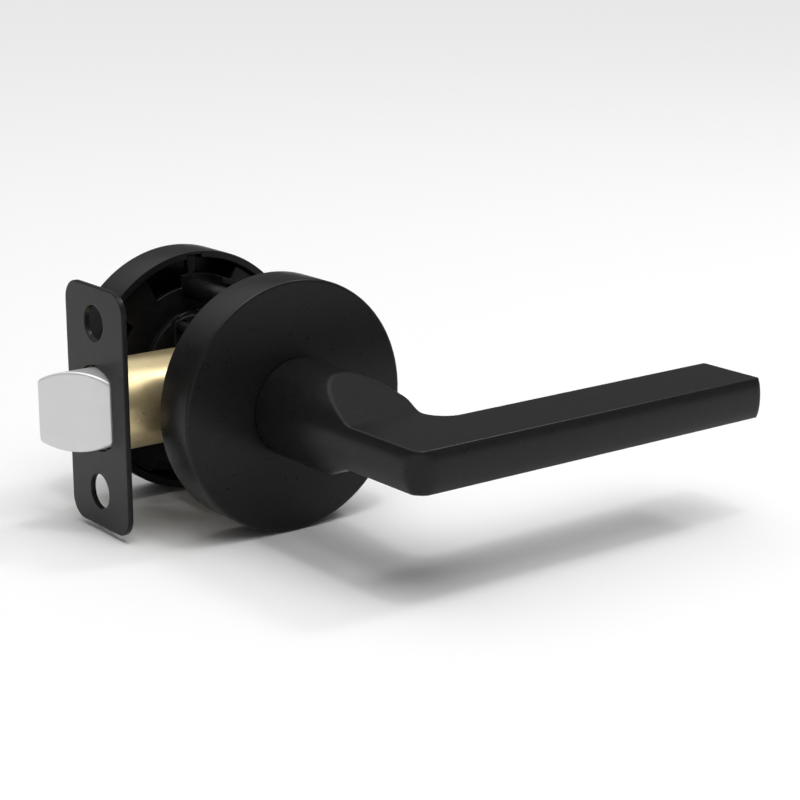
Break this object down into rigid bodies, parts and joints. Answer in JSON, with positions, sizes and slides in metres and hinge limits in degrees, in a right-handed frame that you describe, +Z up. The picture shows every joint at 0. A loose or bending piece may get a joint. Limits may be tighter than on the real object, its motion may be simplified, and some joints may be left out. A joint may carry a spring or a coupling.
{
  "type": "lever handle lockset",
  "caption": "Passage lever lockset: slim flat lever on a round rose, a closed rose behind the door, and a bevelled spring latch in a brass tube with a rounded faceplate.",
  "frame": {"origin": "middle of the door's thickness, where the spindle axis crosses the latch axis", "axes": "+X from the latch towards the lever tips, +Y through the door from the front side to the rear side, +Z up"},
  "size_m": [0.1542, 0.1288, 0.066],
  "materials": {
    "satin_black": "fine satin black powder coat on cast zinc",
    "brass": "smooth drawn brass",
    "polished_nickel": "polished nickel plate",
    "black_steel": "black plated pressed steel",
    "spring_steel": "drawn spring wire",
    "zinc_plate": "bright zinc plated steel",
    "nylon": "natural moulded nylon"
  },
  "bodies": {
    "door_set": {"front_rose": "satin_black", "rear_rose": "satin_black", "front_mounting_plate": "black_steel", "rear_mounting_plate": "black_steel", "front_spring_guard": "black_steel", "rear_spring_guard": "black_steel", "front_bushing": "nylon", "rear_bushing": "nylon", "front_return_spring": "black_steel", "rear_return_spring": "black_steel", "upper_threaded_post": "black_steel", "lower_threaded_post": "black_steel", "upper_mounting_screw": "zinc_plate", "lower_mounting_screw": "zinc_plate", "faceplate": "satin_black", "latch_tube": "brass", "front_case_cheek": "black_steel", "rear_case_cheek": "black_steel", "spring_seat": "zinc_plate", "upper_case_rivet": "black_steel", "lower_case_rivet": "black_steel", "rear_case_rivet": "black_steel", "latch_spring": "spring_steel"},
    "lever_set": {"lever": "satin_black", "set_screw": "black_steel", "rear_cap": "satin_black", "front_drive_plate": "black_steel", "rear_drive_plate": "black_steel", "front_snap_ring": "black_steel", "rear_snap_ring": "black_steel", "spindle": "zinc_plate", "latch_hub": "zinc_plate"},
    "retractor": {"retractor_slide": "zinc_plate"},
    "bolt": {"latch_bolt": "polished_nickel", "bolt_tail": "zinc_plate"}
  },
  "joints": [
    {"name": "lever_turn", "type": "hinge", "parent": "door_set", "child": "lever_set", "pos_m": [0, 0, 0], "axis": [0, 1, 0], "range_deg": [0, 50], "stiffness_Nm_per_rad": 1, "springref_deg": -22.92, "deforming": ["front_return_spring", "rear_return_spring"]},
    {"name": "retract", "type": "slide", "parent": "door_set", "child": "retractor", "axis": [1, 0, 0], "range_m": [0, 0.0127], "deforming": ["latch_spring"]},
    {"name": "bolt_push", "type": "slide", "parent": "retractor", "child": "bolt", "axis": [1, 0, 0], "range_m": [0, 0.0127], "stiffness_N_per_m": 250, "springref_m": -0.012, "deforming": ["latch_spring"]}
  ],
  "couplings": [
    {"joint": "retract", "follows": "lever_turn", "m_per_rad": 0.014553}
  ]
}
